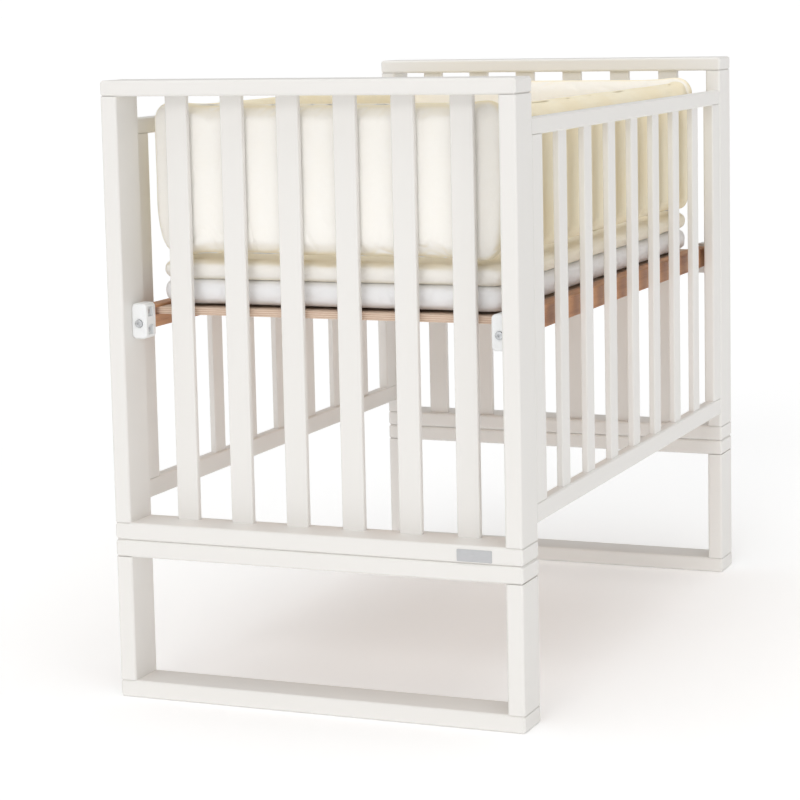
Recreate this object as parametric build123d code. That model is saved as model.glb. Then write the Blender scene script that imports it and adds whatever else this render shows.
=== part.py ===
from build123d import *
import os

# Mini crib: two slatted end panels on separate leg frames, two slatted side panels, a bed base
# held on four moulded brackets, and loose bedding. Millimetres, +Z up, +Y along the crib.
# The origin is on the floor, below the middle of the crib. Near is -Y and left is -X. Each piece
# is modelled at the near left corner and mirrored to the others.

# Overall sizes
crib_length = 1150.0
crib_width = 665.0
crib_height = 950.0
leg_height = 248.0

# Boards of the end panels and leg frames
board_depth = 70.0
board_thickness = 27.0
top_rail_thickness = 24.0
board_round = 4.5
end_bevel = 3.0

# Side panels
side_top_drop = 60.0
side_bottom_rise = 50.0
side_rail_thickness = 18.0
side_top_rail_height = 25.0
side_bottom_rail_height = 30.0
side_recess = 1.0
stile_width = 45.0
side_bevel = 2.0

# Slats, the same stock in the ends and the sides
slat_width = 36.0
slat_thickness = 10.0
slat_bevel = 1.2
slat_housing = 8.0
end_slat_count = 6
end_slat_inset = 11.0
side_slat_count = 7

# Corner tenons
tenon_thickness = 12.0
tenon_depth = 44.0
tenon_length = 14.0
stile_tenon_thickness = 8.0
stile_tenon_width = 28.0
stile_tenon_length = 12.0
wood_fit = 0.1

# Bed base
base_rail_bottom = 571.0
base_rail_height = 34.0
base_rail_thickness = 24.5
base_rail_side_gap = 0.5
base_rail_bevel = 1.5
platform_thickness = 11.0
platform_drop = 4.0
platform_bevel = 1.0
groove_depth = 6.0

# Corner brackets, moulded, with two screw pockets on the side and a bolt boss in front
bracket_width = 25.0
bracket_length = 30.0
bracket_height = 54.0
bracket_bottom = 556.5
bracket_outer_setback = 26.0
bracket_corner = 7.0
bracket_bevel = 2.0
pocket_depth = 6.0
pocket_length = 16.0
pocket_height = 15.0
pocket_pitch = 28.0
bolt_recess = 1.5

# Glued dowels between the posts and the side panels
dowel_diameter = 8.0
dowel_length = 40.0
dowel_count = 3
dowel_margin = 60.0
dowel_end_gap = 1.0
dowel_fit = 0.05
hidden_sides = 8

# Machine bolts and their nuts
bolt_diameter = 6.0
bolt_head_diameter = 11.0
bolt_head_height = 4.0
socket_size = 4.0
socket_depth = 2.4
bolt_clearance = 0.3
head_clearance = 0.6
insert_diameter = 10.0
insert_length = 14.0
insert_fit = 0.05
bolt_runout = 6.0
leg_bolt_count = 2
leg_bolt_pitch = 400.0
leg_head_sink = 6.0
barrel_diameter = 10.0
barrel_length = 14.0
barrel_setback = 24.0
base_bolt_rise = 9.0
base_bolt_head_diameter = 12.0

# Wood screws of the brackets
screw_diameter = 4.0
screw_head_diameter = 8.0
screw_head_height = 2.6
screw_head_sides = 12
screw_bite = 18.0

# Bedding
bedding_side_gap = 16.5
bedding_near_gap = 1.0
bedding_far_gap = 25.0
bedding_seat = 0.3
mattress_thickness = 37.4
topper_thickness = 31.2
mattress_corner = 20.0
pad_thickness = 36.0
end_pad_height = 245.0
side_pad_height = 240.0
side_pad_end_gap = 0.5
pad_corner = 34.0

# Places worked out from the sizes, at the near left corner
outer_y = -crib_length / 2
inner_y = outer_y + board_depth
end_y = (outer_y + inner_y) / 2
outer_x = -crib_width / 2
post_inner_x = outer_x + board_thickness
post_x = (outer_x + post_inner_x) / 2
panel_floor = leg_height + board_thickness
panel_ceiling = crib_height - top_rail_thickness
side_top = crib_height - side_top_drop
side_bottom = leg_height + side_bottom_rise
side_floor = side_bottom + side_bottom_rail_height
side_ceiling = side_top - side_top_rail_height
side_x = outer_x + side_recess + side_rail_thickness / 2
side_length = crib_length - 2 * board_depth
stile_y = inner_y + stile_width / 2
end_slat_y = inner_y - end_slat_inset - slat_thickness / 2
bracket_x = post_inner_x + bracket_width / 2
bracket_y = outer_y + bracket_outer_setback + bracket_length / 2
bracket_back_y = bracket_y + bracket_length / 2
bracket_z = bracket_bottom + bracket_height / 2
base_rail_length = -2 * bracket_back_y
base_rail_x = post_inner_x + base_rail_side_gap + base_rail_thickness / 2
base_rail_inner_x = base_rail_x + base_rail_thickness / 2
base_rail_z = base_rail_bottom + base_rail_height / 2
base_top = base_rail_bottom + base_rail_height
base_bolt_z = base_rail_bottom + base_bolt_rise
platform_z = base_top - platform_drop - platform_thickness / 2
dowel_pitch = (side_top - side_bottom - 2 * dowel_margin) / (dowel_count - 1)
dowel_heights = [side_bottom + dowel_margin + i * dowel_pitch for i in range(dowel_count)]
mattress_bottom = base_top + bedding_seat
topper_bottom = mattress_bottom + mattress_thickness + bedding_seat
pad_bottom = topper_bottom + topper_thickness + bedding_seat
bedding_width = -2 * (post_inner_x + bedding_side_gap)
bedding_length = side_length - bedding_near_gap - bedding_far_gap
bedding_near_y = inner_y + bedding_near_gap


def spread(count, width, span):
    """Centres of count strips that leave equal gaps between and beside them across a span."""
    gap = (span - count * width) / (count + 1)
    return [-span / 2 + (i + 1) * gap + (i + 0.5) * width for i in range(count)]


end_slat_places = spread(end_slat_count, slat_width, crib_width - 2 * board_thickness)
side_slat_places = spread(side_slat_count, slat_width, side_length - 2 * stile_width)
leg_bolt_places = [(i - (leg_bolt_count - 1) / 2) * leg_bolt_pitch for i in range(leg_bolt_count)]


def eased(size, *walls):
    """A rounding or bevel, kept under half of the thinnest wall that it eases."""
    return min(size, 0.45 * min(walls))


def rounded_board(x, y, z, radius, along):
    """A board with its four edges along one axis rounded."""
    body = Box(x, y, z)
    section = [side for side, axis in zip((x, y, z), (Axis.X, Axis.Y, Axis.Z)) if axis != along]
    return fillet(body.edges().filter_by(along), eased(radius, *section))


def bevelled_board(x, y, z, bevel, along):
    """A board with its four edges along one axis bevelled."""
    body = Box(x, y, z)
    section = [side for side, axis in zip((x, y, z), (Axis.X, Axis.Y, Axis.Z)) if axis != along]
    return chamfer(body.edges().filter_by(along), eased(bevel, *section))


def bar(diameter, start, end, axis, place, sides=hidden_sides):
    """A bar or its hole from start to end along one axis, with few sides where wood hides it."""
    turn = {"X": Rot(0, 90, 0), "Y": Rot(90, 0, 0), "Z": Rot(0, 0, 0)}[axis]
    centre = list(place)
    centre["XYZ".index(axis)] = (start + end) / 2
    half = abs(end - start) / 2
    return Pos(*centre) * (turn * extrude(RegularPolygon(diameter / 2, sides), half, both=True))


def mirrored_x(solid):
    return mirror(solid, about=Plane.YZ)


def mirrored_y(solid):
    return mirror(solid, about=Plane.XZ)


def post(bottom, top):
    """An upright of an end frame, with a stub tenon on each end."""
    body = rounded_board(board_thickness, board_depth, top - bottom, board_round, Axis.Z)
    body += Box(tenon_thickness, tenon_depth, top - bottom + 2 * tenon_length)
    return Pos(post_x, end_y, (bottom + top) / 2) * body


def post_mortises(face, into):
    """Cutters for the two post tenons in a rail's face; into is 1 upwards, -1 downwards."""
    size = (tenon_thickness + 2 * wood_fit, tenon_depth + 2 * wood_fit, tenon_length + wood_fit)
    cutter = Pos(post_x, end_y, face + into * size[2] / 2) * Box(*size)
    return cutter + mirrored_x(cutter)


def slat_mortises(face, into):
    """Cutters for the end slats in a rail's face."""
    size = (slat_width + 2 * wood_fit, slat_thickness + 2 * wood_fit, slat_housing + wood_fit)
    cutter = Box(*size)
    z = face + into * size[2] / 2
    return [Pos(x, end_slat_y, z) * cutter for x in end_slat_places]


def cross_rail(bottom, thickness):
    """A rail over the full width of an end frame, rounded along its length and bevelled at its ends."""
    body = rounded_board(crib_width, board_depth, thickness, board_round, Axis.X)
    ends = body.faces().filter_by(Axis.X)
    body = chamfer(ends.edges(), eased(end_bevel, thickness))
    return Pos(0, end_y, bottom + thickness / 2) * body


def panel_top_rail():
    rail = cross_rail(panel_ceiling, top_rail_thickness)
    return rail - post_mortises(panel_ceiling, 1) - slat_mortises(panel_ceiling, 1)


def panel_bottom_rail():
    """Carries the posts and slats, and takes the leg frame's bolts in insert nuts from below."""
    rail = cross_rail(leg_height, board_thickness)
    rail = rail - post_mortises(panel_floor, -1) - slat_mortises(panel_floor, -1)
    for x in leg_bolt_places:
        place = (x, end_y, 0)
        seat = leg_height + insert_length
        rail -= bar(insert_diameter + 2 * insert_fit, leg_height, seat, "Z", place)
        rail -= bar(bolt_diameter + 2 * bolt_clearance, seat, seat + bolt_runout, "Z", place)
    return rail


def leg_top_rail():
    """Bolted up to the end panel through counterbored holes in its underside."""
    bottom = leg_height - board_thickness
    rail = cross_rail(bottom, board_thickness) - post_mortises(bottom, 1)
    for x in leg_bolt_places:
        place = (x, end_y, 0)
        seat = bottom + leg_head_sink
        rail -= bar(bolt_head_diameter + 2 * head_clearance, bottom, seat, "Z", place)
        rail -= bar(bolt_diameter + 2 * bolt_clearance, seat, leg_height, "Z", place)
    return rail


def leg_bottom_rail():
    return cross_rail(0, board_thickness) - post_mortises(board_thickness, -1)


def dowel_holes():
    """Cutters for the dowels between a post and the stile that stands against it."""
    reach = dowel_length / 2 + dowel_end_gap
    bore = dowel_diameter + 2 * dowel_fit
    return [bar(bore, inner_y - reach, inner_y + reach, "Y", (side_x, 0, z)) for z in dowel_heights]


def panel_post():
    """An end panel's post: dowel holes towards the side panel and pilot holes for the bracket."""
    body = post(panel_floor, panel_ceiling) - dowel_holes()
    for z in pocket_heights():
        place = (0, bracket_y, z)
        tip = post_inner_x - screw_bite
        body -= bar(screw_diameter + 2 * insert_fit, tip, post_inner_x, "X", place)
    return body


def leg_post():
    return post(board_thickness, leg_height - board_thickness)


def end_slat(x):
    """A flat slat whose ends are let into the rails above and below."""
    height = panel_ceiling - panel_floor + 2 * slat_housing
    body = bevelled_board(slat_width, slat_thickness, height, slat_bevel, Axis.Z)
    return Pos(x, end_slat_y, (panel_floor + panel_ceiling) / 2) * body


def stile():
    """A side panel's end upright, tenoned into its rails and dowelled to the post."""
    height = side_ceiling - side_floor
    body = bevelled_board(side_rail_thickness, stile_width, height, side_bevel, Axis.Z)
    body += Box(stile_tenon_thickness, stile_tenon_width, height + 2 * stile_tenon_length)
    return Pos(side_x, stile_y, (side_floor + side_ceiling) / 2) * body - dowel_holes()


def side_rail(bottom, height, mortised_face, into):
    """A side panel's rail, from end panel to end panel, mortised for the stiles and slats."""
    body = bevelled_board(side_rail_thickness, side_length, height, side_bevel, Axis.Y)
    body = Pos(side_x, 0, bottom + height / 2) * body
    depth = stile_tenon_length + wood_fit
    size = (stile_tenon_thickness + 2 * wood_fit, stile_tenon_width + 2 * wood_fit, depth)
    cutter = Pos(side_x, stile_y, mortised_face + into * depth / 2) * Box(*size)
    body = body - cutter - mirrored_y(cutter)
    depth = slat_housing + wood_fit
    cutter = Box(slat_thickness + 2 * wood_fit, slat_width + 2 * wood_fit, depth)
    z = mortised_face + into * depth / 2
    return body - [Pos(side_x, y, z) * cutter for y in side_slat_places]


def side_slats():
    height = side_ceiling - side_floor + 2 * slat_housing
    body = bevelled_board(slat_thickness, slat_width, height, slat_bevel, Axis.Z)
    return [Pos(side_x, y, (side_floor + side_ceiling) / 2) * body for y in side_slat_places]


def base_rail():
    """A long rail of the bed base, grooved for the platform and drilled for its end bolts."""
    size = (base_rail_thickness, base_rail_length, base_rail_height)
    body = Pos(base_rail_x, 0, base_rail_z) * bevelled_board(*size, base_rail_bevel, Axis.Y)
    groove = Box(2 * groove_depth, base_rail_length, platform_thickness + 2 * wood_fit)
    body -= Pos(base_rail_inner_x, 0, platform_z) * groove
    place = (base_rail_x, 0, base_bolt_z)
    tip = bracket_back_y + barrel_setback + barrel_diameter
    bore = bar(bolt_diameter + 2 * bolt_clearance, bracket_back_y, tip, "Y", place)
    place = (base_rail_x, bracket_back_y + barrel_setback, 0)
    barrel_top = base_bolt_z + barrel_length / 2
    barrel = bar(barrel_diameter + 2 * insert_fit, base_rail_bottom, barrel_top, "Z", place)
    return body - bore - barrel - mirrored_y(bore) - mirrored_y(barrel)


def platform():
    """A plywood panel whose long edges sit in the base rails' grooves."""
    width = 2 * (groove_depth - wood_fit - base_rail_inner_x)
    body = bevelled_board(width, side_length, platform_thickness, platform_bevel, Axis.X)
    return Pos(0, 0, platform_z) * body


def pocket_heights():
    return (bracket_z - pocket_pitch / 2, bracket_z + pocket_pitch / 2)


def bracket():
    """A moulded corner bracket: rounded outline, screw pockets in its inner side, bolt recess."""
    corner = eased(bracket_corner, bracket_width, bracket_height)
    body = extrude(RectangleRounded(bracket_width, bracket_height, corner), bracket_length)
    body = chamfer(body.faces().sort_by(Axis.Z)[-1].edges(), bracket_bevel)
    body = Pos(bracket_x, bracket_back_y, bracket_z) * (Rot(90, 0, 0) * body)
    pocket = Box(2 * pocket_depth, pocket_length, pocket_height)
    for z in pocket_heights():
        body -= Pos(bracket_x + bracket_width / 2, bracket_y, z) * pocket
        place = (0, bracket_y, z)
        floor_x = bracket_x + bracket_width / 2 - pocket_depth
        body -= bar(screw_diameter + 2 * bolt_clearance, post_inner_x, floor_x, "X", place)
    front = bracket_y - bracket_length / 2
    place = (base_rail_x, 0, base_bolt_z)
    seat = front + bolt_recess
    recess = Cylinder(base_bolt_head_diameter / 2 + head_clearance, 2 * bolt_recess)
    body -= Pos(base_rail_x, front, base_bolt_z) * (Rot(90, 0, 0) * recess)
    body -= bar(bolt_diameter + 2 * bolt_clearance, seat, bracket_back_y, "Y", place)
    return body


def bolt(length, head):
    """A socket bolt whose head, given from its seat upwards, bears at the origin: shank down."""
    shank = extrude(RegularPolygon(bolt_diameter / 2, hidden_sides), -length)
    socket = extrude(RegularPolygon(socket_size / 2, 6), socket_depth)
    return head + shank - Pos(0, 0, bolt_head_height - socket_depth) * socket


def corner_dowels():
    """The dowels of one corner, half in the post and half in the stile."""
    ends = (inner_y - dowel_length / 2, inner_y + dowel_length / 2)
    return [bar(dowel_diameter, *ends, "Y", (side_x, 0, z)) for z in dowel_heights]


def leg_bolts():
    seat = leg_height - board_thickness + leg_head_sink
    length = leg_height + insert_length + bolt_runout / 2 - seat
    head = extrude(RegularPolygon(bolt_head_diameter / 2, hidden_sides), bolt_head_height)
    turned = Rot(180, 0, 0) * bolt(length, head)
    return [Pos(x, end_y, seat) * turned for x in leg_bolt_places]


def leg_inserts():
    """Insert nuts in the end panel's bottom rail, flush with its underside."""
    top = leg_height + insert_length
    bore = bolt_diameter + 2 * insert_fit
    nuts = []
    for x in leg_bolt_places:
        body = bar(insert_diameter, leg_height, top, "Z", (x, end_y, 0))
        nuts.append(body - bar(bore, leg_height, top, "Z", (x, end_y, 0)))
    return nuts


def base_bolt():
    """The bolt through a bracket's front into the barrel nut of the base rail."""
    seat = bracket_y - bracket_length / 2 + bolt_recess
    length = bracket_back_y + barrel_setback + barrel_diameter / 2 - seat
    head = extrude(Circle(base_bolt_head_diameter / 2), bolt_head_height)
    return Pos(base_rail_x, seat, base_bolt_z) * (Rot(90, 0, 0) * bolt(length, head))


def barrel_nut():
    place = (base_rail_x, bracket_back_y + barrel_setback, base_bolt_z)
    ends = (base_bolt_z - barrel_length / 2, base_bolt_z + barrel_length / 2)
    body = bar(barrel_diameter, *ends, "Z", place)
    across = (place[1] - barrel_diameter, place[1] + barrel_diameter)
    return body - bar(bolt_diameter + 2 * insert_fit, *across, "Y", place)


def bracket_screws():
    """Pan-head wood screws from the bracket's side pockets into the post."""
    seat = bracket_x + bracket_width / 2 - pocket_depth
    head = extrude(RegularPolygon(screw_head_diameter / 2, screw_head_sides), screw_head_height)
    tip = post_inner_x - screw_bite + wood_fit
    screws = []
    for z in pocket_heights():
        shank = bar(screw_diameter, tip, seat, "X", (0, bracket_y, z))
        screws.append(shank + Pos(seat, bracket_y, z) * (Rot(0, 90, 0) * head))
    return screws


def laid_flat(bottom, thickness):
    """A flat cushion with rounded corners, its near end at the near end of the bedding."""
    size = (bedding_width, bedding_length, thickness)
    body = rounded_board(*size, mattress_corner, Axis.Z)
    return Pos(0, bedding_near_y + bedding_length / 2, bottom + thickness / 2) * body


def bumper_pad(length, height):
    """An upright pad across the crib at its middle, with rounded corners."""
    outline = RectangleRounded(length, height, eased(pad_corner, length, height))
    body = extrude(outline, pad_thickness / 2, both=True)
    return Pos(0, 0, pad_bottom + height / 2) * (Rot(90, 0, 0) * body)


def end_pad():
    return Pos(0, bedding_near_y + pad_thickness / 2, 0) * bumper_pad(bedding_width, end_pad_height)


def side_pad():
    """Stands between the two end pads, level with the bedding's long edge."""
    length = -2 * (bedding_near_y + pad_thickness + side_pad_end_gap)
    turned = Rot(0, 0, 90) * bumper_pad(length, side_pad_height)
    return Pos((pad_thickness - bedding_width) / 2, 0, 0) * turned


def save(name, solids):
    """Writes one node, of one solid or of several identical ones."""
    shape = solids[0] if len(solids) == 1 else Compound(children=list(solids))
    shape.label = name
    export_step(shape, "parts/" + name + ".step")


def at_both_ends(name, make):
    """One node at each end, the far one mirrored."""
    solid = make()
    save("near_" + name, [solid])
    save("far_" + name, [mirrored_y(solid)])


def at_both_sides(name, make):
    solid = make()
    save("left_" + name, [solid])
    save("right_" + name, [mirrored_x(solid)])


def at_four_corners(name, make):
    """One node at each corner of the crib."""
    near_left = make()
    far_left = mirrored_y(near_left)
    save("near_left_" + name, [near_left])
    save("near_right_" + name, [mirrored_x(near_left)])
    save("far_left_" + name, [far_left])
    save("far_right_" + name, [mirrored_x(far_left)])


def fastener_group(name, solids, both_sides):
    """Identical fasteners as one node of separate solids, mirrored to the other ends or corners."""
    group = list(solids) + [mirrored_y(solid) for solid in solids]
    if both_sides:
        group += [mirrored_x(solid) for solid in group]
    save(name, group)


def main():
    os.makedirs("parts", exist_ok=True)
    at_both_ends("top_rail", panel_top_rail)
    at_both_ends("bottom_rail", panel_bottom_rail)
    at_both_ends("leg_top_rail", leg_top_rail)
    at_both_ends("leg_bottom_rail", leg_bottom_rail)
    at_four_corners("post", panel_post)
    at_four_corners("leg_post", leg_post)
    for number, x in enumerate(end_slat_places, start=1):
        slat = end_slat(x)
        save(f"near_end_slat_{number}", [slat])
        save(f"far_end_slat_{number}", [mirrored_y(slat)])
    at_four_corners("stile", stile)
    at_both_sides("side_top_rail", lambda: side_rail(side_ceiling, side_top_rail_height, side_ceiling, 1))
    at_both_sides("side_bottom_rail", lambda: side_rail(side_bottom, side_bottom_rail_height, side_floor, -1))
    slats = side_slats()
    save("left_side_slats", slats)
    save("right_side_slats", [mirrored_x(slat) for slat in slats])
    save("bed_platform", [platform()])
    at_both_sides("base_rail", base_rail)
    at_four_corners("bracket", bracket)
    fastener_group("corner_dowels", corner_dowels(), True)
    fastener_group("leg_bolts", leg_bolts(), False)
    fastener_group("leg_insert_nuts", leg_inserts(), False)
    fastener_group("base_bolts", [base_bolt()], True)
    fastener_group("base_barrel_nuts", [barrel_nut()], True)
    fastener_group("bracket_screws", bracket_screws(), True)
    save("mattress", [laid_flat(mattress_bottom, mattress_thickness)])
    save("topper", [laid_flat(topper_bottom, topper_thickness)])
    at_both_ends("bumper_pad", end_pad)
    at_both_sides("bumper_pad", side_pad)


main()
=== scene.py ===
import logging
import math
from dataclasses import dataclass
from enum import Enum
from typing import Any, Callable, Mapping, Sequence, Tuple, Union

import bmesh
import bpy
import numpy as np
from mathutils import Matrix, Vector


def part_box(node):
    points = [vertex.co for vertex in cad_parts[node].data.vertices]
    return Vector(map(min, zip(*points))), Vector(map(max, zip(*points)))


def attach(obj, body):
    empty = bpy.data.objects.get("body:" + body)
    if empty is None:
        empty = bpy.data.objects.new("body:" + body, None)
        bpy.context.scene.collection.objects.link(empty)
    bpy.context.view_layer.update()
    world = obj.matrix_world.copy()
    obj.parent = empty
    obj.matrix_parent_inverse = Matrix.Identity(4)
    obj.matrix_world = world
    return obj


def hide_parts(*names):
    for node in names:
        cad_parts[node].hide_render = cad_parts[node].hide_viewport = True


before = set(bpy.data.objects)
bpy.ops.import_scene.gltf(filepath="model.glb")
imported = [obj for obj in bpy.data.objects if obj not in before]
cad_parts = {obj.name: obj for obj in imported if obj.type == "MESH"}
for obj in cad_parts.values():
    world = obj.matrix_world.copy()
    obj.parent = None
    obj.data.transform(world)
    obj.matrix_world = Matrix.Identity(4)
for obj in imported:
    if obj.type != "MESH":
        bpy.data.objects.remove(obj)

Colour = Tuple[float, float, float]
Point = Tuple[float, float, float]
Value = Union[float, "Signal"]
Reach = Callable[[np.ndarray], np.ndarray]
Fold = Tuple[float, float, float, float]

log = logging.getLogger("crib")
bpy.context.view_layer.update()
# A fold in the bedding, in metres: how far past and within its ends it fades, and its section.
FOLD_ENDS = (0.006, 0.004)
GROOVE_WIDTH = 0.0042
RIDGE_HEIGHT = 0.7
RIDGE_OFFSET = 0.008
RIDGE_WIDTH = 0.005


class Grain(Enum):
    """The axis that the fibres of a board run along."""

    ALONG_X = 0
    ALONG_Y = 1
    ALONG_Z = 2


class Signal:
    """A number, colour or vector that varies over a surface; sums on numbers become Math nodes."""

    def __init__(self, recipe: "Recipe", socket: bpy.types.NodeSocket) -> None:
        """Keeps the socket that carries the value, and the recipe that it belongs to."""
        self.recipe = recipe
        self.socket = socket

    def _math(self, operation: str, *values: Value) -> "Signal":
        """One Math node on the given values."""
        return self.recipe.node("ShaderNodeMath", dict(enumerate(values)), operation=operation)

    def __add__(self, other: Value) -> "Signal":
        """self + other"""
        return self._math("ADD", self, other)

    def __radd__(self, other: Value) -> "Signal":
        """other + self"""
        return self._math("ADD", other, self)

    def __sub__(self, other: Value) -> "Signal":
        """self - other"""
        return self._math("SUBTRACT", self, other)

    def __rsub__(self, other: Value) -> "Signal":
        """other - self"""
        return self._math("SUBTRACT", other, self)

    def __mul__(self, other: Value) -> "Signal":
        """self * other"""
        return self._math("MULTIPLY", self, other)

    def __rmul__(self, other: Value) -> "Signal":
        """other * self"""
        return self._math("MULTIPLY", other, self)

    def __abs__(self) -> "Signal":
        """The value without its sign."""
        return self._math("ABSOLUTE", self)

    def largest(self, other: Value) -> "Signal":
        """The larger of this and another value."""
        return self._math("MAXIMUM", self, other)

    def sine(self) -> "Signal":
        """The sine of the value, in radians."""
        return self._math("SINE", self)

    def between(self, low: float, high: float) -> "Signal":
        """0 below low, 1 above high, and a smooth rise from one to the other.

        Args:
            low: The value where the rise starts.
            high: The value where it ends.

        Returns:
            The mask.
        """
        inputs = {"Value": self, "From Min": low, "From Max": high}
        return self.recipe.node("ShaderNodeMapRange", inputs, interpolation_type="SMOOTHSTEP")


class Recipe:
    """The nodes of one material, from the place on the surface to the finished shader, or of the sky."""

    def __init__(self, name: str, library: str = "materials") -> None:
        """Starts an empty tree of nodes.

        Args:
            name: The name of the material, or of the sky.
            library: The part of bpy.data that keeps it: materials, or worlds for a sky.
        """
        self.owner = getattr(bpy.data, library).new(name)
        self.owner.use_nodes = True
        self.tree = self.owner.node_tree
        self.tree.nodes.clear()

    def add(self, kind: str, inputs: Mapping[Any, Any], **settings: Any) -> bpy.types.Node:
        """Adds one node.

        Args:
            kind: The node's type.
            inputs: The value or the link of each socket, by its name or number.
            settings: What is set on the node itself.

        Returns:
            The node.
        """
        made = self.tree.nodes.new(kind)
        for name, value in settings.items():
            setattr(made, name, value)
        for key, value in inputs.items():
            if isinstance(value, Signal):
                self.tree.links.new(value.socket, made.inputs[key])
            else:
                made.inputs[key].default_value = value
        return made

    def node(self, kind: str, inputs: Mapping[Any, Any] = {}, output: Any = 0, **settings: Any) -> Signal:
        """Adds one node and reads the output of that name or number."""
        return Signal(self, self.add(kind, inputs, **settings).outputs[output])

    def place(self, scale: Point = (1.0, 1.0, 1.0), shift: Point = (0.0, 0.0, 0.0)) -> Signal:
        """The place on the piece in metres, stretched by scale and then shifted."""
        here = self.node("ShaderNodeTexCoord", output="Object")
        return self.node("ShaderNodeMapping", {"Vector": here, "Scale": scale, "Location": shift})

    def axis(self, vector: Signal, name: str) -> Signal:
        """One of a vector's three numbers, by its letter."""
        return self.node("ShaderNodeSeparateXYZ", {0: vector}, output=name)

    def facing(self) -> Signal:
        """The surface's own direction, in the crib's axes."""
        return self.node("ShaderNodeNewGeometry", output="Normal")

    def noise(self, where: Signal, scale: float, detail: float = 3.0, rough: float = 0.5) -> Signal:
        """Cloudy noise around 0.5.

        Args:
            where: The place it is read at.
            scale: Clouds in a metre.
            detail: How many finer layers it has.
            rough: How strong those layers are.

        Returns:
            The noise's value.
        """
        inputs = {"Vector": where, "Scale": scale, "Detail": detail, "Roughness": rough}
        return self.node("ShaderNodeTexNoise", inputs, output="Fac")

    def mix(self, amount: Value, first: Any, second: Any, way: str = "MIX") -> Signal:
        """Blends two colours.

        Args:
            amount: How much of the second shows.
            first: A colour or a signal.
            second: A colour or a signal.
            way: How they blend.

        Returns:
            The blended colour.
        """
        pair = [(*c, 1.0) if isinstance(c, tuple) else c for c in (first, second)]
        inputs = {0: amount, 6: pair[0], 7: pair[1]}
        return self.node("ShaderNodeMix", inputs, 2, data_type="RGBA", blend_type=way, clamp_factor=True)

    def relief(self, height: Signal, depth: float, under: Any = None) -> Signal:
        """Raised and sunken detail.

        Args:
            height: The height, from 0 to 1.
            depth: The height of 1, in metres.
            under: Another relief that this one lies on.

        Returns:
            The bent direction for the shader's Normal.
        """
        inputs = {"Height": height, "Distance": depth, "Strength": 1.0}
        if under is not None:
            inputs["Normal"] = under
        return self.node("ShaderNodeBump", inputs)

    def finish(self, colour: Any, roughness: Value, normal: Any = None, **fixed: Any) -> bpy.types.Material:
        """Joins everything to the shader.

        Args:
            colour: A colour or a signal.
            roughness: A number or a signal.
            normal: The relief, if there is one.
            fixed: Numbers set on the shader's own sockets, with _ for a space.

        Returns:
            The material.
        """
        inputs = {"Base Color": (*colour, 1.0) if isinstance(colour, tuple) else colour,
                  "Roughness": roughness}
        if normal is not None:
            inputs["Normal"] = normal
        inputs.update({name.replace("_", " "): value for name, value in fixed.items()})
        shader = self.node("ShaderNodeBsdfPrincipled", inputs)
        self.add("ShaderNodeOutputMaterial", {"Surface": shader})
        return self.owner


@dataclass(frozen=True)
class SatinPaint:
    """Satin paint on wood, with a little of the grain showing through and softer edges."""

    grain: Grain
    colour: Colour = (0.832, 0.816, 0.790)
    worn: Colour = (0.770, 0.738, 0.692)
    roughness: float = 0.36
    drawn_out: float = 0.06
    grain_depth: float = 0.00007
    peel_depth: float = 0.00003
    wear: float = 0.35

    def material(self) -> bpy.types.Material:
        """The paint as a material.

        Returns:
            The material.
        """
        r = Recipe(f"satin_paint_{self.grain.name.lower()}")
        stretch = [1.0, 1.0, 1.0]
        stretch[self.grain.value] = self.drawn_out
        here = r.place()
        along = r.place(tuple(stretch))
        broad = r.noise(here, 4.0, 2.0)
        fibres = r.noise(along, 260.0, 5.0, 0.62)
        bands = r.noise(along, 38.0, 3.0)
        peel = r.noise(here, 1150.0, 2.0)
        direction = r.facing()
        flat = abs(r.axis(direction, "X")).largest(abs(r.axis(direction, "Y")))
        edge = 1.0 - flat.largest(abs(r.axis(direction, "Z"))).between(0.80, 0.97)
        rubbed = edge * r.noise(here, 22.0, 4.0).between(0.50, 0.72)
        shade = 0.12 * broad + 0.16 * bands + 0.10 * fibres
        coat = r.mix(shade, self.colour, self.worn)
        colour = r.mix(rubbed * self.wear, coat, self.worn)
        rough = self.roughness + 0.10 * broad + 0.08 * fibres + 0.10 * rubbed
        relief = r.relief(peel, self.peel_depth, r.relief(fibres + 0.6 * bands, self.grain_depth))
        return r.finish(colour, rough, relief, Specular_IOR_Level=0.42)


@dataclass(frozen=True)
class StainedWood:
    """Orange-brown stained wood of the bed base's long rails, with darker end grain."""

    light: Colour = (0.600, 0.315, 0.160)
    dark: Colour = (0.400, 0.180, 0.085)
    ends: Colour = (0.330, 0.120, 0.060)
    drawn_out: float = 0.045
    rings: float = 55.0
    pore_depth: float = 0.0001

    def material(self) -> bpy.types.Material:
        """The stained wood as a material.

        Returns:
            The material.
        """
        r = Recipe("stained_wood")
        here = r.place()
        along = r.place((1.0, self.drawn_out, 1.0))
        figure = r.noise(along, 42.0, 5.0, 0.6)
        fibres = r.noise(along, 420.0, 4.0, 0.65)
        pores = r.noise(along, 900.0, 2.0).between(0.60, 0.70)
        ends = abs(r.axis(r.facing(), "Y")).between(0.6, 0.9)
        rings = (r.noise(r.place((1.0, 1.0, 2.4)), 60.0, 3.0) * self.rings).sine() * 0.5 + 0.5
        boards = r.mix(figure.between(0.35, 0.65) * 0.8 + 0.2 * fibres, self.light, self.dark)
        boards = r.mix(pores * 0.45, boards, self.ends)
        colour = r.mix(ends, boards, r.mix(rings * 0.5, self.dark, self.ends))
        rough = 0.46 + 0.14 * fibres + 0.12 * ends + 0.04 * r.noise(here, 9.0)
        relief = r.relief(fibres - 0.8 * pores, self.pore_depth)
        return r.finish(colour, rough, relief, Coat_Weight=0.15, Coat_Roughness=0.35)


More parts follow.
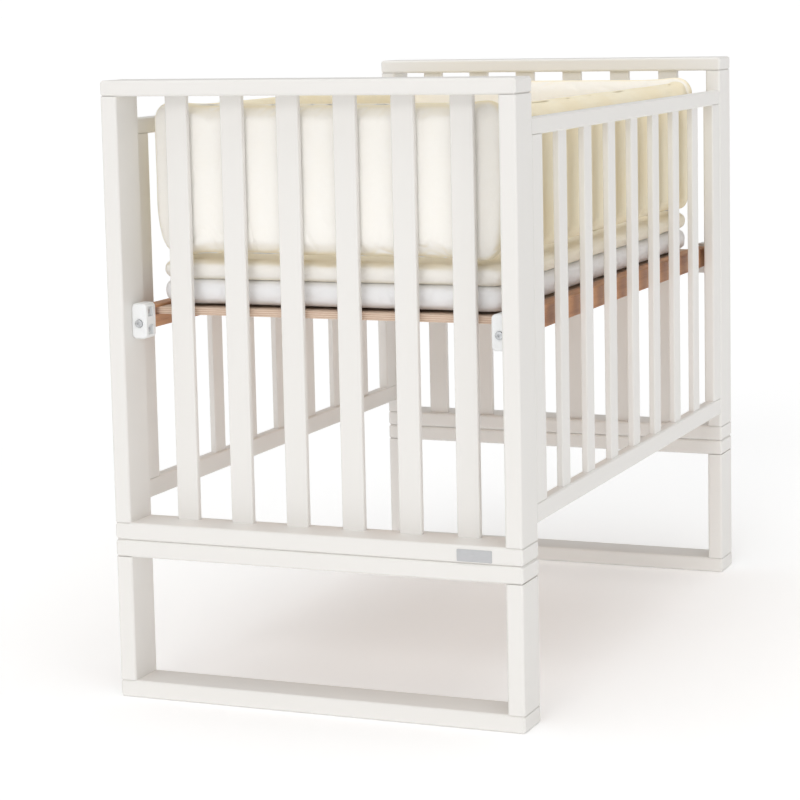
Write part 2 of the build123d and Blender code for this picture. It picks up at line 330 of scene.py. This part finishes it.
@dataclass(frozen=True)
class Plywood:
    """Birch plywood, with its plies on the edges."""

    bottom: float
    thickness: float
    plies: int = 7
    face: Colour = (0.760, 0.610, 0.490)
    figure: Colour = (0.660, 0.480, 0.360)
    core: Colour = (0.600, 0.420, 0.310)
    drawn_out: float = 0.07
    relief_depth: float = 0.00012

    def material(self) -> bpy.types.Material:
        """The plywood as a material.

        Returns:
            The material.
        """
        r = Recipe("birch_plywood")
        here = r.place()
        along = r.place((self.drawn_out, 1.0, 1.0))
        figure = r.noise(along, 30.0, 4.0, 0.6)
        fibres = r.noise(along, 380.0, 4.0, 0.6)
        veneer = r.mix(figure.between(0.38, 0.66), self.face, self.figure)
        veneer = r.mix(0.35 * fibres, veneer, self.figure)
        height = (r.axis(here, "Z") - self.bottom) * (math.pi * self.plies / self.thickness)
        layers = (height.sine() * 3.0).between(-1.0, 1.0)
        edge = 1.0 - abs(r.axis(r.facing(), "Z")).between(0.4, 0.8)
        sawn = r.mix(layers, self.core, self.face)
        torn = r.noise(r.place((0.6, 0.6, 4.0)), 240.0, 3.0).between(0.45, 0.7)
        sawn = r.mix(torn * 0.4, sawn, self.core)
        colour = r.mix(edge, veneer, sawn)
        relief = r.relief(fibres + edge * layers, self.relief_depth)
        return r.finish(colour, 0.55 + 0.15 * fibres, relief)


@dataclass(frozen=True)
class MouldedPlastic:
    """White moulded plastic with a fine spark texture."""

    colour: Colour = (0.880, 0.890, 0.890)
    soiled: Colour = (0.700, 0.700, 0.680)
    spark_depth: float = 0.00002

    def material(self) -> bpy.types.Material:
        """The plastic as a material.

        Returns:
            The material.
        """
        r = Recipe("moulded_plastic")
        here = r.place()
        broad = r.noise(here, 55.0, 3.0)
        spark = r.noise(here, 2600.0, 2.0)
        flow = r.noise(r.place((1.0, 0.3, 1.0)), 120.0, 2.0)
        colour = r.mix(broad.between(0.45, 0.8) * 0.25 + 0.06 * flow, self.colour, self.soiled)
        rough = 0.34 + 0.14 * broad + 0.06 * spark
        return r.finish(colour, rough, r.relief(spark, self.spark_depth), Coat_Weight=0.1)


@dataclass(frozen=True)
class ZincSteel:
    """Bright zinc on steel, cloudy and a little scratched."""

    bright: Colour = (0.700, 0.715, 0.730)
    dull: Colour = (0.430, 0.440, 0.445)
    scratch_depth: float = 0.00002

    def material(self) -> bpy.types.Material:
        """The plated steel as a material.

        Returns:
            The material.
        """
        r = Recipe("zinc_steel")
        here = r.place()
        cloud = r.noise(here, 260.0, 4.0, 0.6)
        lines = r.noise(r.place((1.0, 9.0, 9.0)), 320.0, 2.0)
        colour = r.mix(cloud.between(0.38, 0.70) * 0.8 + 0.2 * lines, self.bright, self.dull)
        rough = 0.24 + 0.24 * cloud + 0.06 * lines
        return r.finish(colour, rough, r.relief(lines, self.scratch_depth), Metallic=1.0)


@dataclass(frozen=True)
class DowelWood:
    """Plain beech, with short flecks along the grain."""

    pale: Colour = (0.680, 0.500, 0.330)
    fleck: Colour = (0.420, 0.260, 0.140)

    def material(self) -> bpy.types.Material:
        """The beech as a material.

        Returns:
            The material.
        """
        r = Recipe("dowel_wood")
        along = r.place((1.0, 0.08, 1.0))
        flecks = r.noise(along, 900.0, 2.0).between(0.58, 0.68)
        figure = r.noise(along, 160.0, 4.0)
        colour = r.mix(0.5 * figure + 0.4 * flecks, self.pale, self.fleck)
        return r.finish(colour, 0.62 + 0.1 * figure, r.relief(figure - flecks, 0.0001))


@dataclass(frozen=True)
class BrushedPlate:
    """Silver-coloured metal, brushed along its length."""

    bright: Colour = (0.640, 0.645, 0.655)
    dark: Colour = (0.420, 0.420, 0.430)

    def material(self) -> bpy.types.Material:
        """The brushed metal as a material.

        Returns:
            The material.
        """
        r = Recipe("brushed_plate")
        brushed = r.noise(r.place((0.03, 1.0, 1.0)), 3200.0, 3.0)
        cloud = r.noise(r.place(), 70.0, 3.0)
        colour = r.mix(0.5 * brushed + 0.25 * cloud, self.bright, self.dark)
        return r.finish(colour, 0.34 + 0.16 * brushed, r.relief(brushed, 0.00002), Metallic=0.85)


@dataclass(frozen=True)
class Cotton:
    """Woven cotton: a plain weave, slubs, a warmer tone in its folds, and painted light: a paler,
    near-white tint on faces turned to the front.
    """

    name: str
    cloth: Colour
    fold: Colour
    lit_front_tint: Colour
    threads: float = 1500.0
    crumple_depth: float = 0.0016
    weave_depth: float = 0.00016

    def material(self) -> bpy.types.Material:
        """The cloth as a material.

        Returns:
            The material.
        """
        r = Recipe(self.name)
        here = r.place()
        direction = r.facing()
        thread = 2.0 * math.pi * self.threads
        warp = ((r.axis(here, "X") + r.axis(here, "Y")) * thread).sine()
        aslant = (r.axis(here, "X") - r.axis(here, "Y")) * (0.5 * thread)
        weft = (r.axis(here, "Z") * thread + aslant).sine()
        weave = warp * weft * 0.5 + 0.5
        slubs = r.noise(r.place((1.0, 1.0, 6.0)), 190.0, 4.0, 0.6)
        broad = r.noise(here, 7.0, 3.0)
        crumple = r.noise(here, 46.0, 4.0, 0.55)
        # Painted light: faces turned to the front, where the lights fall, are blended toward a paler,
        # near-white tint.
        front = (0.0 - r.axis(direction, "Y")).between(0.25, 0.95)
        base = r.mix(0.55 * broad.between(0.35, 0.75) + 0.2 * slubs, self.cloth, self.fold)
        base = r.mix(front, base, self.lit_front_tint)
        colour = r.mix(0.10 * weave + 0.10 * crumple, base, self.fold)
        soft = r.relief(crumple, self.crumple_depth)
        relief = r.relief(0.6 * weave + 0.4 * slubs, self.weave_depth, soft)
        return r.finish(colour, 0.88 + 0.08 * slubs, relief, Sheen_Weight=0.25, Sheen_Roughness=0.5,
                        Specular_IOR_Level=0.2)


@dataclass(frozen=True)
class StudioFloor:
    """A plain pale floor, lit a little from below."""

    colour: Colour = (0.955, 0.955, 0.955)
    glow: float = 0.16
    dusty: Colour = (0.9, 0.9, 0.9)

    def material(self) -> bpy.types.Material:
        """The floor as a material.

        Returns:
            The material.
        """
        r = Recipe("studio_floor")
        cloud = r.noise(r.place(), 1.3, 2.0)
        return r.finish(r.mix(0.03 * cloud, self.colour, self.dusty), 0.9, Specular_IOR_Level=0.1,
                        Emission_Color=(1.0, 1.0, 1.0, 1.0), Emission_Strength=self.glow)


class Maker:
    """Turns bmesh and numpy work into objects that ride on the crib."""

    @staticmethod
    def piece(name: str, mesh: bpy.types.Mesh, body: str, material: bpy.types.Material,
              slot: str) -> bpy.types.Object:
        """Makes an object that rides on a body.

        Args:
            name: The piece's name.
            mesh: Its mesh, in the crib's own place.
            body: The body that it moves with.
            material: Its finish.
            slot: Not used.

        Returns:
            The object.
        """
        made = bpy.data.objects.new(name, mesh)
        bpy.context.scene.collection.objects.link(made)
        mesh.materials.clear()
        mesh.materials.append(material)
        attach(made, body)
        return made

    @staticmethod
    def mesh(name: str, source: bmesh.types.BMesh, smooth: bool = True) -> bpy.types.Mesh:
        """Writes a bmesh out as a mesh.

        Args:
            name: The mesh's name.
            source: The bmesh, which is freed.
            smooth: Whether its faces are shaded smooth.

        Returns:
            The mesh.
        """
        bmesh.ops.recalc_face_normals(source, faces=source.faces)
        made = bpy.data.meshes.new(name)
        source.to_mesh(made)
        source.free()
        made.polygons.foreach_set("use_smooth", [smooth] * len(made.polygons))
        return made

    @staticmethod
    def points(mesh: bpy.types.Mesh) -> np.ndarray:
        """Reads where a mesh's vertices are.

        Args:
            mesh: The mesh.

        Returns:
            One row for each vertex, in metres.
        """
        flat = np.empty(len(mesh.vertices) * 3)
        mesh.vertices.foreach_get("co", flat)
        return flat.reshape(-1, 3)

    @staticmethod
    def move(mesh: bpy.types.Mesh, places: np.ndarray) -> None:
        """Puts a mesh's vertices in new places."""
        mesh.vertices.foreach_set("co", places.ravel())
        mesh.update()

    @staticmethod
    def applied(made: bpy.types.Object) -> bpy.types.Mesh:
        """A mesh of the object with its modifiers worked in."""
        graph = bpy.context.evaluated_depsgraph_get()
        return bpy.data.meshes.new_from_object(made.evaluated_get(graph))


def ease(values: np.ndarray, low: float, high: float) -> np.ndarray:
    """A smooth rise from 0 at low to 1 at high, on an array."""
    t = np.clip((values - low) / (high - low), 0.0, 1.0)
    return t * t * (3.0 - 2.0 * t)


def ripples(places: np.ndarray, seed: int, scale: Point, count: int = 9) -> np.ndarray:
    """Smooth uneven waves over the given places.

    Args:
        places: One row for each point, in metres.
        seed: Chooses the waves.
        scale: Waves in a metre along each axis.
        count: How many waves are added up.

    Returns:
        One height for each point, mostly from -1 to 1.
    """
    chance = np.random.default_rng(seed)
    total = np.zeros(len(places))
    for _ in range(count):
        turn = chance.normal(size=3)
        turn = turn / np.linalg.norm(turn) * np.array(scale) * chance.uniform(0.6, 1.5)
        total += np.sin(places @ turn * 2.0 * math.pi + chance.uniform(0.0, 2.0 * math.pi))
    return total / math.sqrt(count)


def creases(places: np.ndarray, folds: Sequence[Tuple[float, float, float, float]]) -> np.ndarray:
    """How far the near face sinks or rises along a few folds.

    Args:
        places: One row for each point, in metres.
        folds: The two ends of each fold, as x and z of one and then of the other.

    Returns:
        One height for each point, from about -1 in a fold to 0.7 on the ridge beside it.
    """
    total = np.zeros(len(places))
    for x0, z0, x1, z1 in folds:
        span = np.array([x1 - x0, z1 - z0])
        length = np.linalg.norm(span)
        ahead = span / length
        offset = places[:, [0, 2]] - np.array([x0, z0])
        along = offset @ ahead
        beside = offset @ np.array([-ahead[1], ahead[0]])
        past, within = FOLD_ENDS
        fade = ease(along, -past, within) * (1.0 - ease(along, length - within, length + past))
        ridge = RIDGE_HEIGHT * np.exp(-((beside - RIDGE_OFFSET) / RIDGE_WIDTH) ** 2)
        total += fade * (ridge - np.exp(-(beside / GROOVE_WIDTH) ** 2))
    return total


@dataclass
class SoftForm:
    """A stuffed form: an eased slab, remeshed, puffed up as cloth, and then reshaped."""

    low: Vector
    high: Vector
    outline: int
    corner: float
    rim: float
    voxel: float = 0.006
    pressure: float = 4.0
    frames: int = 20
    inset: float = 0.002
    quality: int = 4
    smoothings: int = 4

    def slab(self) -> bpy.types.Mesh:
        """Makes the slab with its outline's corners and then its rims rounded.

        Returns:
            The slab's mesh.
        """
        body = bmesh.new()
        bmesh.ops.create_cube(body, size=1.0)
        size = self.high - self.low - Vector((2 * self.inset,) * 3)
        bmesh.ops.scale(body, vec=size, verts=body.verts)
        bmesh.ops.translate(body, vec=(self.low + self.high) / 2, verts=body.verts)

        def lies_along(edge: bmesh.types.BMEdge) -> bool:
            """True for an edge along the slab's thin axis."""
            span = edge.verts[1].co - edge.verts[0].co
            return abs(span[self.outline]) > 0.9 * span.length

        corners = [e for e in body.edges if lies_along(e)]
        bmesh.ops.bevel(body, geom=corners, offset=self.corner, segments=8, profile=0.5, affect="EDGES")
        rims = [e for e in body.edges if not lies_along(e) and e.calc_face_angle(0.0) > 0.7]
        bmesh.ops.bevel(body, geom=rims, offset=self.rim, segments=5, profile=0.5, affect="EDGES")
        return Maker.mesh("slab", body)

    def puffed(self, reach: Reach) -> bpy.types.Mesh:
        """Runs the cloth and caps how far each point may move.

        Args:
            reach: Gives the cap at each point, in metres.

        Returns:
            The swollen mesh, subdivided once.
        """
        working = bpy.data.objects.new("working", self.slab())
        bpy.context.scene.collection.objects.link(working)
        remesh = working.modifiers.new("even", "REMESH")
        remesh.mode = "VOXEL"
        remesh.voxel_size = self.voxel
        working.data = Maker.applied(working)
        working.modifiers.clear()
        start = Maker.points(working.data)
        cloth = working.modifiers.new("cloth", "CLOTH")
        cloth.settings.use_pressure = True
        cloth.settings.uniform_pressure_force = self.pressure
        cloth.settings.effector_weights.gravity = 0.0
        cloth.settings.quality = self.quality
        cloth.collision_settings.use_collision = False
        for step in range(1, self.frames + 1):
            bpy.context.scene.frame_set(step)
        swollen = Maker.points(Maker.applied(working))
        bpy.context.scene.frame_set(1)
        working.modifiers.clear()
        moved = swollen - start
        length = np.linalg.norm(moved, axis=1, keepdims=True)
        cap = reach(start)[:, None]
        moved *= np.minimum(length, cap) / np.maximum(length, 1e-9)
        Maker.move(working.data, start + moved)
        smooth = working.modifiers.new("smooth", "SMOOTH")
        smooth.iterations = self.smoothings
        finer = working.modifiers.new("finer", "SUBSURF")
        finer.levels = finer.render_levels = 1
        mesh = Maker.applied(working)
        bpy.data.objects.remove(working)
        mesh.polygons.foreach_set("use_smooth", [True] * len(mesh.polygons))
        return mesh


class Dresser:
    """Gives CAD nodes their finishes."""

    @staticmethod
    def paint(node: bpy.types.Object, material: bpy.types.Material) -> None:
        """Puts one material in every slot of a node.

        Args:
            node: The CAD node's object.
            material: Its finish.
        """
        if not node.data.materials:
            node.data.materials.append(material)
        for index in range(len(node.material_slots)):
            node.material_slots[index].material = material


@dataclass
class Woodwork:
    """The painted boards of the end panels, side panels and leg frames."""

    across: Sequence[str] = ("top_rail", "bottom_rail", "leg_top_rail", "leg_bottom_rail")
    upright: Sequence[str] = ("post", "leg_post", "stile")

    def dress(self) -> None:
        """Paints each board with the grain along it."""
        along_x, along_y, along_z = (SatinPaint(g).material() for g in Grain)
        for name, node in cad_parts.items():
            tail = name.split("_", 1)[1] if "_" in name else name
            if "side" in name and "rail" in name:
                paint = along_y
            elif name.startswith(("near_", "far_")) and tail in self.across:
                paint = along_x
            elif name.endswith(tuple(self.upright)) or "slat" in name:
                paint = along_z
            else:
                continue
            Dresser.paint(node, paint)
        log.info("woodwork painted")


@dataclass
class BedBase:
    """The two stained rails, the plywood platform and what bolts them down."""

    def dress(self) -> None:
        """Gives the rails, platform, brackets and fasteners their finishes."""
        low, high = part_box("bed_platform")
        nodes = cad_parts
        stained = StainedWood().material()
        steel = ZincSteel().material()
        plastic = MouldedPlastic().material()
        Dresser.paint(nodes["bed_platform"], Plywood(low.z, high.z - low.z).material())
        for side in ("left", "right"):
            Dresser.paint(nodes[f"{side}_base_rail"], stained)
        for name, node in nodes.items():
            if name.endswith("_bracket"):
                Dresser.paint(node, plastic)
            elif name.endswith(("bolts", "nuts", "screws")):
                Dresser.paint(node, steel)
        Dresser.paint(nodes["corner_dowels"], DowelWood().material())
        log.info("bed base dressed")


@dataclass
class NamePlate:
    """The small bare metal plate on the near panel's bottom rail."""

    left: float = 0.2310
    right: float = 0.2857
    bottom: float = 0.2507
    top: float = 0.2690
    thickness: float = 0.0008
    rim: float = 0.0007
    corner: float = 0.0016
    edge: float = 0.0002

    def build(self) -> bpy.types.Object:
        """A thin plate with rounded corners and a raised rim.

        Returns:
            The plate.
        """
        body = bmesh.new()
        bmesh.ops.create_cube(body, size=1.0)
        size = (self.right - self.left, self.thickness * 2, self.top - self.bottom)
        bmesh.ops.scale(body, vec=size, verts=body.verts)
        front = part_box("near_bottom_rail")[0].y
        centre = ((self.left + self.right) / 2, front, (self.bottom + self.top) / 2)
        bmesh.ops.translate(body, vec=centre, verts=body.verts)
        corners = [e for e in body.edges if abs(e.verts[0].co.y - e.verts[1].co.y) > 1e-5]
        bmesh.ops.bevel(body, geom=corners, offset=self.corner, segments=5, profile=0.5, affect="EDGES")
        face = min(body.faces, key=lambda f: f.calc_center_median().y)
        outline = list(face.edges)
        bmesh.ops.bevel(body, geom=outline, offset=self.edge, segments=2, profile=0.5, affect="EDGES")
        face = min(body.faces, key=lambda f: (round(f.calc_center_median().y, 5), -f.calc_area()))
        bmesh.ops.inset_individual(body, faces=[face], thickness=self.rim, depth=0.0)
        bmesh.ops.inset_individual(body, faces=[face], thickness=self.edge, depth=-self.edge)
        mesh = Maker.mesh("name_plate", body, smooth=False)
        log.info("name plate built")
        return Maker.piece("name_plate", mesh, "crib", BrushedPlate().material(), "zinc_steel")


@dataclass
class FlatPad:
    """What the mattress and the topper share: a puffed slab, pleated all round and folded in front.

    Lengths are in metres and waves in turns for each metre; depth is that of the folds in front, and
    overhang is how far the near side may stand out past the CAD solid.
    """

    body: str
    cloth: Cotton
    fill: float
    swell: float
    pleat: float
    pleat_seed: int
    pleat_waves: Point
    depth: float
    overhang: float
    folds: Sequence[Fold]
    corner: float = 0.022
    rim: float = 0.012
    shoulder: float = 0.02
    top_slack: float = 0.0001
    far_overhang: float = 0.006
    near_band: Tuple[float, float] = (0.002, 0.012)

    def lift_edge(self, places: np.ndarray, side: np.ndarray, end: np.ndarray) -> None:
        """Lifts the lower edge off what the pad lies on, before the folds; here it stays flat."""

    def shape_top(self, places: np.ndarray, side: np.ndarray, end: np.ndarray) -> None:
        """Shapes the upper face, after the folds; here it stays plain."""

    def build(self) -> bpy.types.Object:
        """Makes the pad, with pleats all round and folds on its near side.

        Returns:
            The pad.
        """
        low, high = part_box(self.body)
        form = SoftForm(low, high, 2, self.corner, self.rim)
        mesh = form.puffed(lambda p: np.full(len(p), self.swell))
        places = Maker.points(mesh)
        middle = (low + high) / 2
        half = (high.y - low.y) / 2
        side = ease(np.abs(places[:, 0]), high.x - self.shoulder, high.x)
        end = ease(np.abs(places[:, 1] - middle.y), half - self.shoulder, half)
        pleats = 1.0 - np.abs(ripples(places, self.pleat_seed, self.pleat_waves, 5))
        pleats = np.clip(pleats, 0.0, 1.0) ** 3
        self.lift_edge(places, side, end)
        outward = np.zeros_like(places)
        outward[:, 0] = np.sign(places[:, 0]) * side
        outward[:, 1] = np.sign(places[:, 1] - middle.y) * end
        places -= outward * (self.pleat * pleats)[:, None]
        near = 1.0 - ease(places[:, 1], low.y - self.near_band[0], low.y + self.near_band[1])
        places[:, 1] -= near * self.depth * creases(places, self.folds)
        self.shape_top(places, side, end)
        places[:, 2] = np.clip(places[:, 2], low.z, high.z + self.top_slack)
        places[:, 1] = np.clip(places[:, 1], low.y - self.overhang, high.y + self.far_overhang)
        Maker.move(mesh, places)
        cover = f"{self.body}_cover"
        made = Maker.piece(cover, mesh, self.body, self.cloth.material(), cover)
        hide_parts(self.body)
        log.info("%s built: %d vertices", self.body, len(mesh.vertices))
        return made


@dataclass
class Mattress(FlatPad):
    """The white mattress on the bed base, with a wavy lower edge."""

    body: str = "mattress"
    # The third colour is painted light: the paler tint of faces turned to the front.
    cloth: Cotton = Cotton("mattress_cotton", (0.900, 0.895, 0.900), (0.820, 0.805, 0.800),
                           (0.955, 0.957, 0.970))
    fill: float = 0.7
    swell: float = 0.007
    pleat: float = 0.0034
    pleat_seed: int = 11
    pleat_waves: Point = (16.0, 16.0, 30.0)
    depth: float = 0.0034
    overhang: float = 0.008
    folds: Sequence[Fold] = (
        (-0.106, 0.637, -0.116, 0.620), (-0.096, 0.614, -0.072, 0.601), (0.075, 0.609, 0.101, 0.620),
        (0.101, 0.620, 0.115, 0.607), (0.066, 0.642, 0.073, 0.618), (0.159, 0.608, 0.212, 0.623),
        (0.161, 0.641, 0.178, 0.623), (-0.007, 0.616, 0.016, 0.608), (-0.187, 0.628, -0.201, 0.612),
        (-0.202, 0.607, -0.177, 0.603))
    lift: float = 0.0050
    lift_seed: int = 5
    lift_waves: Point = (9.0, 9.0, 3.0)

    def lift_edge(self, places: np.ndarray, side: np.ndarray, end: np.ndarray) -> None:
        """Lifts the lower edge off the base in waves.

        Args:
            places: The points, which are moved.
            side: 1 at the left and right sides, 0 inside.
            end: 1 at the near and far ends, 0 inside.
        """
        low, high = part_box(self.body)
        height = (places[:, 2] - low.z) / (high.z - low.z)
        wave = np.clip(ripples(places, self.lift_seed, self.lift_waves), 0.0, 1.4)
        places[:, 2] += self.lift * wave * np.maximum(side, end) * (1.0 - ease(height, 0.1, 0.6))


@dataclass
class Topper(FlatPad):
    """The thinner cream pad that lies on the mattress, quilted on top."""

    body: str = "topper"
    # The third colour is painted light: the paler tint of faces turned to the front.
    cloth: Cotton = Cotton("topper_cotton", (0.945, 0.885, 0.760), (0.900, 0.810, 0.620),
                           (0.985, 0.965, 0.930))
    fill: float = 0.6
    swell: float = 0.006
    pleat: float = 0.0018
    pleat_seed: int = 23
    pleat_waves: Point = (11.0, 11.0, 22.0)
    depth: float = 0.0026
    overhang: float = 0.007
    folds: Sequence[Fold] = (
        (0.255, 0.646, 0.283, 0.652), (0.066, 0.675, 0.075, 0.657), (0.161, 0.677, 0.171, 0.658),
        (-0.196, 0.666, -0.187, 0.649), (-0.060, 0.652, -0.020, 0.648))
    quilting: float = 0.0025
    quilt_turns: float = 38.0
    unevenness: float = 0.0012
    uneven_seed: int = 31
    uneven_waves: Point = (7.0, 7.0, 1.0)

    def shape_top(self, places: np.ndarray, side: np.ndarray, end: np.ndarray) -> None:
        """Quilts the upper face.

        Args:
            places: The points, which are moved.
            side: 1 at the left and right sides, 0 inside.
            end: 1 at the near and far ends, 0 inside.
        """
        low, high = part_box(self.body)
        inside = (1.0 - side) * (1.0 - end) * ease(places[:, 2], (low.z + high.z) / 2, high.z)
        lines = np.abs(np.sin(places[:, :2] * self.quilt_turns)) ** 0.5
        uneven = self.unevenness * np.abs(ripples(places, self.uneven_seed, self.uneven_waves))
        places[:, 2] -= inside * (self.quilting * (1.0 - lines[:, 0] * lines[:, 1]) + uneven)


@dataclass
class BumperPads:
    """The four upright pads around the inside of the crib."""

    corner: float = 0.030
    rim: float = 0.013
    voxel: float = 0.005
    outward: float = 0.0095
    inward: float = 0.005
    end_swell: float = 0.0015
    end_band: float = 0.075
    foot_pinch: float = 0.12
    foot_height: float = 0.075
    taper: float = 0.012
    wave_height: float = 0.0010
    pucker_depth: float = 0.0022
    seam_depth: float = 0.0012
    seam_place: float = 0.80
    seam_width: float = 0.06
    seam_band: float = 0.01
    top_slack: float = 0.004
    wave_seed: int = 41
    pucker_seed: int = 61
    fill: float = 0.75
    pads: Sequence[str] = ("near", "far", "left", "right")

    def build(self) -> None:
        """Makes each pad in turn, all in the same cloth."""
        # The third colour is painted light: the near-white tint of faces turned to the front.
        cloth = Cotton("pad_cotton", (0.960, 0.880, 0.680), (0.935, 0.800, 0.530), (0.985, 0.970, 0.940))
        material = cloth.material()
        for number, side in enumerate(self.pads):
            self.pad(side, number, material)

    def pad(self, side: str, number: int, material: bpy.types.Material) -> bpy.types.Object:
        """Makes one pad: crowned faces, a thin rounded foot and a seam along each rim.

        Args:
            side: near, far, left or right.
            number: Chooses its creases.
            material: Its cloth.

        Returns:
            The pad.
        """
        node = f"{side}_bumper_pad"
        low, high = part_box(node)
        thin = 1 if side in ("near", "far") else 0
        long = 1 - thin
        centre = (low + high) / 2
        half = (high - low) / 2
        outer = math.copysign(1.0, centre[thin])
        form = SoftForm(low, high, thin, self.corner, self.rim, voxel=self.voxel)

        def reach(p: np.ndarray) -> np.ndarray:
            """Gives how far each point may swell: least near the pad's ends.

            Args:
                p: One row for each point, in metres.

            Returns:
                The cap at each point, in metres.
            """
            along = 1.0 - ease(np.abs(p[:, long] - centre[long]), half[long] - self.end_band, half[long])
            face = np.where((p[:, thin] - centre[thin]) * outer > 0, self.outward, self.inward)
            return self.end_swell + (face - self.end_swell) * along

        mesh = form.puffed(reach)
        p = Maker.points(mesh)
        up = (p[:, 2] - low.z) / (high.z - low.z)
        across = (p[:, thin] - centre[thin]) / half[thin]
        foot = 1.0 - ease(up, 0.0, self.foot_height)
        p[:, thin] -= (p[:, thin] - centre[thin]) * self.foot_pinch * foot ** 2
        if side in ("near", "far"):
            narrowed = self.taper * (1.0 - ease(up, 0.02, 0.42)) ** 2
            p[:, long] -= (p[:, long] - centre[long]) / half[long] * narrowed
        wave = ripples(p, self.wave_seed + number, (7.0, 7.0, 3.0), 7)
        pucker = 1.0 - np.abs(ripples(p, self.pucker_seed + number, (16.0, 16.0, 6.0), 6))
        pucker = np.clip(pucker, 0.0, 1.0) ** 4
        hem = np.exp(-((up - 0.10) / 0.09) ** 2) + 0.6 * np.exp(-((up - 0.93) / 0.05) ** 2)
        bumps = self.wave_height * wave - self.pucker_depth * pucker * (0.25 + hem)
        p[:, thin] += np.sign(across) * bumps
        for edge in (-self.seam_place, self.seam_place):
            seam = np.exp(-((across - edge) / self.seam_width) ** 2)
            ends = ease(np.abs(p[:, long] - centre[long]), half[long] - self.seam_band, half[long])
            rim = np.maximum(ease(up, 0.93, 0.97), ends)
            p[:, 2] -= self.seam_depth * seam * rim * ease(up, 0.5, 0.6)
        face_out = half[thin] + self.outward
        p[:, thin] = np.clip(p[:, thin], centre[thin] - face_out, centre[thin] + face_out)
        p[:, 2] = np.clip(p[:, 2], low.z, high.z + self.top_slack)
        Maker.move(mesh, p)
        made = Maker.piece(f"{side}_pad_cover", mesh, node, material, "pad_cover")
        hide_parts(node)
        log.info("%s pad built: %d vertices", side, len(mesh.vertices))
        return made


@dataclass
class Studio:
    """The camera, the lights, the sky and the floor."""

    place: Point = (1.52771, -3.85707, 1.05201)
    turn: float = 21.84583
    tilt: float = 7.23039
    roll: float = -1.11427
    lens: float = 111.5117
    shift: Tuple[float, float] = (-0.05, -0.10)
    sky: float = 0.30
    horizon: float = 1.05
    haze: Tuple[float, float] = (0.05, 0.20)
    floor_radius: float = 900.0
    floor_gap: float = 0.0002
    lights: Sequence[Tuple[str, float, float, float, float]] = (
        ("key_light", 0.58, 24.0, 2.0, 24.0),
        ("side_light", 0.36, 18.0, 48.0, 40.0),
        ("top_light", 1.55, 84.0, 0.0, 80.0),
    )

    def build(self) -> None:
        """Sets up everything around the crib."""
        scene = bpy.context.scene
        camera = bpy.data.objects.new("camera", bpy.data.cameras.new("camera"))
        scene.collection.objects.link(camera)
        camera.data.lens = self.lens
        camera.data.shift_x, camera.data.shift_y = self.shift
        camera.data.clip_end = 2.0 * self.floor_radius
        turn = Matrix.Rotation(math.radians(self.turn), 4, "Z")
        tilt = Matrix.Rotation(math.radians(90.0 - self.tilt), 4, "X")
        roll = Matrix.Rotation(math.radians(self.roll), 4, "Z")
        camera.matrix_world = Matrix.Translation(self.place) @ turn @ tilt @ roll
        scene.camera = camera
        for name, power, height, turned, spread in self.lights:
            lamp = bpy.data.objects.new(name, bpy.data.lights.new(name, "SUN"))
            scene.collection.objects.link(lamp)
            lamp.data.energy = power
            lamp.data.angle = math.radians(spread)
            lamp.rotation_euler = (math.radians(90.0 - height), 0.0, math.radians(turned))
        self.paint_sky(scene)
        floor = bmesh.new()
        bmesh.ops.create_circle(floor, cap_ends=True, radius=self.floor_radius, segments=96)
        ground = bpy.data.objects.new("floor", Maker.mesh("floor", floor))
        ground.data.materials.append(StudioFloor().material())
        ground.location.z = -self.floor_gap
        scene.collection.objects.link(ground)
        scene.view_settings.view_transform = "Standard"
        scene.view_settings.look = "None"
        log.info("studio built")

    def paint_sky(self, scene: bpy.types.Scene) -> None:
        """Makes a pale sky, brightest along the horizon.

        Args:
            scene: The scene that it is set in.
        """
        r = Recipe("sky", "worlds")
        up = r.axis(r.node("ShaderNodeTexCoord", output="Generated"), "Z")
        fade = {"Value": up, "From Min": self.haze[0], "From Max": self.haze[1],
                "To Min": self.horizon, "To Max": self.sky}
        strength = r.node("ShaderNodeMapRange", fade, interpolation_type="SMOOTHSTEP")
        light = r.node("ShaderNodeBackground", {"Color": (1.0, 1.0, 1.0, 1.0), "Strength": strength})
        r.add("ShaderNodeOutputWorld", {"Surface": light})
        scene.world = r.owner


def main() -> None:
    """Builds and dresses the crib."""
    logging.basicConfig(level=logging.INFO, format="%(name)s: %(message)s")
    Studio().build()
    Woodwork().dress()
    BedBase().dress()
    NamePlate().build()
    Mattress().build()
    Topper().build()
    BumperPads().build()


if __name__ == "__main__":
    main()
